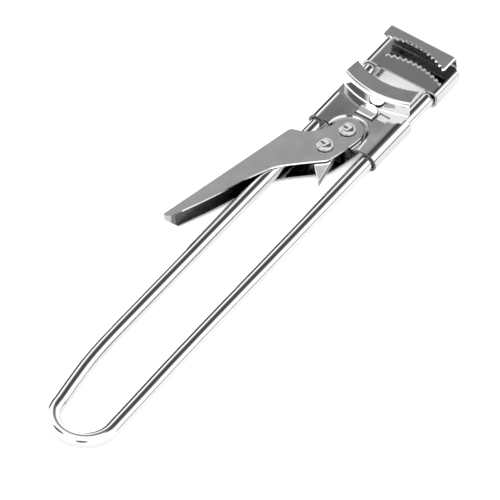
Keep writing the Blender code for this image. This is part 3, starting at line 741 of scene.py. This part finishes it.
def web_edges(bm, count, first, last):
    """The long edges, above and below, where the ears bend into the web."""
    bm.verts.ensure_lookup_table()
    pairs = [(i, i + 1) for i in range(first, last)]
    pairs += [(i + count, i + 1 + count) for i in range(first, last)]
    return [bm.edges.get((bm.verts[i], bm.verts[j])) for i, j in pairs]


def lever_cavity():
    """What is open between the ears: everything but the web and the closed tip."""
    (x0, y0), (x1, y1) = LEVER_WEB
    length = math.hypot(x1 - x0, y1 - y0)
    along = ((x1 - x0) / length, (y1 - y0) / length)
    inset = (x0 - along[1] * LEVER_SHEET, y0 + along[0] * LEVER_SHEET)
    reach = length - LEVER_TIP_WALL
    start = (inset[0] - along[0] * CUT_MARGIN, inset[1] - along[1] * CUT_MARGIN)
    end = (inset[0] + along[0] * reach, inset[1] + along[1] * reach)
    outline = [start, end] + [(x * MM, y * MM) for x, y in LEVER_MOUTH]
    inner = LEVER_HALF_HEIGHT - LEVER_SHEET
    return prism(outline, -inner, inner)


def end_slant():
    """Wedge that cuts the lever's tip back towards its lower ear."""
    low = -LEVER_HALF_HEIGHT - CUT_MARGIN / 2
    tip = LEVER_WEB[1][1] - LEVER_TIP_MARGIN
    clear = tip - LEVER_END_SLANT
    outline = [(tip, LEVER_SLANT_TOP), (tip + LEVER_END_SLANT, low)]
    outline += [(clear, low), (clear, LEVER_SLANT_TOP)]
    return prism(outline, LEVER_WEB[1][0] - CUT_MARGIN, LEVER_WEB[0][0], "YZX")


def lever_channel(material, inner, grey, bright):
    """U-section lever, with painted shade inside, a painted darker grey shade on the lower ear and
    the tip, and a painted highlight on the cut edge along the top.
    """
    height = LEVER_HALF_HEIGHT
    outline, first, last = lever_outline()
    bm = prism(outline, -height, height)
    bent = web_edges(bm, len(outline), first, last)
    bmesh.ops.bevel(
        bm, geom=bent, offset=LEVER_BEND, segments=6, affect="EDGES", profile=0.5, clamp_overlap=True)
    obj = loose_object("lever_channel", bm)
    combined(obj, [
        ("DIFFERENCE", lever_cavity()),
        ("DIFFERENCE", end_slant()),
        ("DIFFERENCE", cylinder(PIVOT, RIVET_HOLE, CUT_Z)),
        ("DIFFERENCE", cylinder(PAWL_PIVOT, RIVET_HOLE, CUT_Z))])
    finish_piece(obj, "lever", "lever", material, SHEET_EDGE)
    inside = LEVER_HALF_HEIGHT - LEVER_SHEET
    tip = LEVER_WEB[1][1] + LEVER_END_SLANT
    # Painted shade: the inside of the channel is near black
    paint_faces(obj, inner, lambda c, n: abs(c.z) < inside and n.x > 0.3)
    # Painted shade: the lower ear's inner face and edges are a darker grey
    paint_faces(obj, grey, lambda c, n: -LEVER_HALF_HEIGHT < c.z < 0.1 * MM - inside and n.z > -0.5)
    # Painted highlight: the top ear's cut edge along the open side is much lighter
    paint_faces(obj, bright, lambda c, n: c.z > inside and abs(n.z) < 0.8 and n.x > 0.2)
    # Painted shade: the slanted end of the tip is a darker grey
    paint_faces(obj, grey, lambda c, n: c.y < tip and n.y < -0.3 and n.x < 0.9)


def rivet(name, node, body, centre, material):
    """Domed head with a dimple above, plain shank, low formed head below."""
    height = LEVER_HALF_HEIGHT + GAP
    crown = height + HEAD_HEIGHT
    profile = [(0.0, crown - DIMPLE_DEPTH), (DIMPLE_RADIUS * 0.6, crown - DIMPLE_DEPTH * 0.8)]
    profile.append((DIMPLE_RADIUS, crown))
    for i in range(1, HEAD_STEPS + 1):
        angle = math.pi / 2 * i / HEAD_STEPS
        reach = DIMPLE_RADIUS + (HEAD_RADIUS - DIMPLE_RADIUS) * math.sin(angle)
        profile.append((reach, height + HEAD_HEIGHT * (0.25 + 0.75 * math.cos(angle))))
    profile += [(HEAD_RADIUS, height), (RIVET_SHANK, height), (RIVET_SHANK, -height)]
    foot = -height - FOOT_HEIGHT
    profile += [(HEAD_RADIUS, -height), (HEAD_RADIUS * 0.85, foot), (0.0, foot)]
    obj = loose_object(name, revolve(profile, centre, RIVET_SIDES))
    return finish_piece(obj, node, body, material, HEAD_EDGE)


def spacer_bush(material):
    """Bush on the pivot rivet, between the recess and the lower ear."""
    low = -LEVER_HALF_HEIGHT + LEVER_SHEET + GAP
    high = PLATE_TOP - DISH_DEPTH - JAW_SHEET - GAP
    bm = ring_solid(PIVOT, RIVET_HOLE, SPACER_RADIUS, low, high, RIVET_SIDES)
    obj = loose_object("spacer_bush", bm)
    return finish_piece(obj, "pivot_spacer", "carriage", material, SPACER_EDGE)


def locking_pawl(material, inner):
    """Wedge that turns on its rivet; its toe points at the right rod."""
    hub = circle(PAWL_PIVOT, PAWL_HUB, *PAWL_HUB_TURN, PAWL_HUB_STEPS)
    corners = [(x * MM, y * MM) for x, y in PAWL_CORNERS]
    heel = round_corner(hub[-1], corners[0], corners[1], PAWL_HEEL_ROUND, 6)
    toe = round_corner(corners[0], corners[1], corners[2], PAWL_TOE_ROUND, 4)
    shoulder = round_corner(corners[1], corners[2], hub[0], PAWL_SHOULDER_ROUND, 8)
    obj = loose_object("locking_pawl", prism(hub + heel + toe + shoulder, *PAWL_Z))
    combined(obj, [("DIFFERENCE", cylinder(PAWL_PIVOT, RIVET_HOLE, CUT_Z))])
    finish_piece(obj, "pawl", "pawl", material, PAWL_EDGE)
    # Painted shade: the pawl's sides that face towards +X are near black
    paint_faces(obj, inner, lambda c, n: n.x > 0.3)


def torsion_spring(material):
    """Two turns round the pawl's rivet, with one leg to the lever and one hooked on the pawl."""
    low, high = SPRING_Z
    path = [(x, SPRING_RADIUS, low) for x in SPRING_ARM]
    count = int(SPRING_STEPS * (SPRING_TURNS + 0.25))
    for i in range(count + 1):
        turned = i / SPRING_STEPS
        angle = math.pi / 2 + 2 * math.pi * turned
        z = low + (high - low) * min(turned / SPRING_TURNS, 1.0)
        path.append((SPRING_RADIUS * math.cos(angle), SPRING_RADIUS * math.sin(angle), z))
    path += [(-SPRING_RADIUS, y * MM, high + rise * MM) for y, rise in SPRING_HOOK]
    placed = [(x + PAWL_PIVOT[0], y + PAWL_PIVOT[1], z) for x, y, z in path]
    obj = loose_object("torsion_spring", tube(placed, SPRING_WIRE, SPRING_SIDES))
    return finish_piece(obj, "pawl_spring", "pawl", material, SPRING_EDGE)


# ---------------------------------------------------------------- materials

def noise(nodes, links, place, size, detail):
    """Node output: a soft random pattern with spots of about the given size."""
    node = nodes.new("ShaderNodeTexNoise")
    node.inputs["Scale"].default_value = 1 / size
    node.inputs["Detail"].default_value = detail
    links.new(place, node.inputs["Vector"])
    return node.outputs["Fac"]


def bump(nodes, links, height, strength, distance):
    """Node that tilts the surface by a pattern of heights."""
    node = nodes.new("ShaderNodeBump")
    node.inputs["Strength"].default_value = strength
    node.inputs["Distance"].default_value = distance
    links.new(height, node.inputs["Height"])
    return node


def steel(name, colour, roughness, wave=0.1, grain=(1.0, 1.0, 1.0), grain_depth=0.0):
    """Polished steel: faint smears in colour and gloss, a slow waviness and a fine grain."""
    material = bpy.data.materials.new(name)
    material.use_nodes = True
    nodes = material.node_tree.nodes
    links = material.node_tree.links
    shader = nodes["Principled BSDF"]
    shader.inputs["Metallic"].default_value = 1.0
    place = nodes.new("ShaderNodeTexCoord").outputs["Object"]
    smears = noise(nodes, links, place, SMEAR_SIZE, 4.0)

    tone = nodes.new("ShaderNodeMix")
    tone.data_type = "RGBA"
    tone.inputs["A"].default_value = (*(SMEAR_TONE * c for c in colour), 1.0)
    tone.inputs["B"].default_value = (*colour, 1.0)
    links.new(smears, tone.inputs["Factor"])
    links.new(tone.outputs["Result"], shader.inputs["Base Color"])

    gloss = nodes.new("ShaderNodeMapRange")
    gloss.inputs["To Min"].default_value = roughness * (1 - SMEAR_GLOSS)
    gloss.inputs["To Max"].default_value = roughness * (1 + SMEAR_GLOSS)
    links.new(smears, gloss.inputs["Value"])
    links.new(gloss.outputs["Result"], shader.inputs["Roughness"])

    slow = bump(nodes, links, noise(nodes, links, place, WAVE_SIZE, 1.0), wave, WAVE_HEIGHT)
    stretch = nodes.new("ShaderNodeMapping")
    stretch.inputs["Scale"].default_value = grain
    links.new(place, stretch.inputs["Vector"])
    lines = noise(nodes, links, stretch.outputs["Vector"], GRAIN_SIZE, 2.0)
    fine = bump(nodes, links, lines, grain_depth, GRAIN_HEIGHT)
    links.new(slow.outputs["Normal"], fine.inputs["Normal"])
    links.new(fine.outputs["Normal"], shader.inputs["Normal"])
    return material


# ---------------------------------------------------------------- stage

def view_axes():
    """Right, up and forward of the camera, from its azimuth and elevation."""
    right = Vector((math.cos(AZIMUTH), math.sin(AZIMUTH), 0.0))
    forward = Vector((
        -math.sin(AZIMUTH) * math.cos(ELEVATION),
        math.cos(AZIMUTH) * math.cos(ELEVATION),
        -math.sin(ELEVATION)))
    return right, right.cross(forward), forward


def add_camera():
    """A long lens, so that the view is nearly parallel."""
    right, up, forward = view_axes()
    distance = VIEW_WIDTH * LENS / SENSOR
    pivot_top = ORIGIN + Vector((0.0, 0.0, LEVER_HALF_HEIGHT))
    aim = pivot_top - right * PIVOT_RIGHT_OF_CENTRE - up * PIVOT_ABOVE_CENTRE
    data = bpy.data.cameras.new("camera")
    data.lens = LENS
    data.sensor_width = SENSOR
    data.clip_end = 20.0
    camera = bpy.data.objects.new("camera", data)
    turn = Matrix((right, up, -forward)).transposed()
    camera.matrix_world = Matrix.Translation(aim - forward * distance) @ turn.to_4x4()
    bpy.context.scene.collection.objects.link(camera)
    bpy.context.scene.camera = camera


def add_floor():
    """A wide pale floor that glows a little, so that it stays white round the tool."""
    reach = (-FLOOR_HALF, FLOOR_HALF)
    floor = loose_object("floor", box_solid(reach, reach, (-FLOOR_THICKNESS, 0.0)))
    material = bpy.data.materials.new("pale_floor")
    material.use_nodes = True
    shader = material.node_tree.nodes["Principled BSDF"]
    shader.inputs["Base Color"].default_value = (0.93, 0.93, 0.93, 1.0)
    shader.inputs["Roughness"].default_value = 0.8
    shader.inputs["Emission Color"].default_value = (1.0, 1.0, 1.0, 1.0)
    shader.inputs["Emission Strength"].default_value = 0.25
    floor.data.materials.append(material)


def dot_with(nodes, links, direction, axis):
    """Node output: how closely a direction of view agrees with a fixed axis."""
    dot = nodes.new("ShaderNodeVectorMath")
    dot.operation = "DOT_PRODUCT"
    dot.inputs[1].default_value = Vector(axis).normalized()
    links.new(direction, dot.inputs[0])
    return dot.outputs["Value"]


def ramp(nodes, links, value, stops):
    """Node output: a grey ramp through (position, grey) stops."""
    node = nodes.new("ShaderNodeValToRGB")
    node.color_ramp.interpolation = "EASE"
    elements = node.color_ramp.elements
    while len(elements) < len(stops):
        elements.new(0.5)
    for element, (position, grey) in zip(elements, stops):
        element.position = position
        element.color = (grey, grey, grey, 1.0)
    links.new(value, node.inputs["Fac"])
    return node.outputs["Color"]


def multiplied(nodes, links, first, second):
    """Node output: the product of two colours."""
    node = nodes.new("ShaderNodeMix")
    node.data_type = "RGBA"
    node.blend_type = "MULTIPLY"
    node.inputs["Factor"].default_value = 1.0
    links.new(first, node.inputs["A"])
    links.new(second, node.inputs["B"])
    return node.outputs["Result"]


def add_light():
    """A bright tent of light, darkened in a few patches."""
    world = bpy.data.worlds.new("studio")
    world.use_nodes = True
    bpy.context.scene.world = world
    nodes = world.node_tree.nodes
    links = world.node_tree.links
    place = nodes.new("ShaderNodeTexCoord")
    greys = []
    for axis, stops in PATCHES:
        closeness = dot_with(nodes, links, place.outputs["Generated"], axis)
        greys.append(ramp(nodes, links, closeness, stops))
    light = greys[0]
    for grey in greys[1:]:
        light = multiplied(nodes, links, light, grey)
    background = nodes["Background"]
    background.inputs["Strength"].default_value = TENT_STRENGTH
    links.new(light, background.inputs["Color"])
    bpy.context.scene.view_settings.view_transform = "Standard"


def main():
    add_camera()
    add_floor()
    add_light()
    rod_steel = steel(
        "rod_steel", (0.50, 0.50, 0.505), 0.08, wave=0.03, grain=(1.0, 0.03, 1.0), grain_depth=0.1)
    sheet_steel = steel("sheet_steel", (0.44, 0.44, 0.445), 0.10, wave=0.12)
    lever_steel = steel("lever_steel", (0.54, 0.54, 0.545), 0.16, wave=0.04)
    rivet_steel = steel("tumbled_steel", (0.34, 0.34, 0.34), 0.18, wave=0.05, grain_depth=0.15)
    # Painted shade: a darker grey copy of the steel, for faces that lie in shade
    painted_shade_grey_steel = steel("painted_shade_grey_steel", (0.34, 0.34, 0.345), 0.08, wave=0.05)
    # Painted highlight: a much lighter copy of the steel, for faces that catch the light
    bright_steel = steel("bright_steel", (0.85, 0.85, 0.85), 0.10, wave=0.12)
    # Painted shade: a near-black copy of the steel, for insides, grooves and sides in shadow
    shade_steel = steel("shade_steel", (0.14, 0.14, 0.145), 0.25, wave=0.05)
    pawl_steel = steel("pawl_steel", (0.75, 0.75, 0.755), 0.2, wave=0.05, grain_depth=0.1)
    dull_steel = steel("plain_steel", (0.36, 0.36, 0.365), 0.25, wave=0.05, grain_depth=0.2)
    handle_rod(rod_steel)
    fixed_jaw_sheet(sheet_steel, painted_shade_grey_steel, bright_steel, shade_steel)
    sliding_jaw_sheet(sheet_steel, bright_steel, shade_steel)
    lever_channel(lever_steel, shade_steel, painted_shade_grey_steel, bright_steel)
    rivet("pivot_rivet_bright", "pivot_rivet", "carriage", PIVOT, rivet_steel)
    rivet("pawl_rivet_bright", "pawl_rivet", "lever", PAWL_PIVOT, rivet_steel)
    spacer_bush(dull_steel)
    locking_pawl(pawl_steel, shade_steel)
    torsion_spring(dull_steel)


main()
bpy.context.view_layer.update()
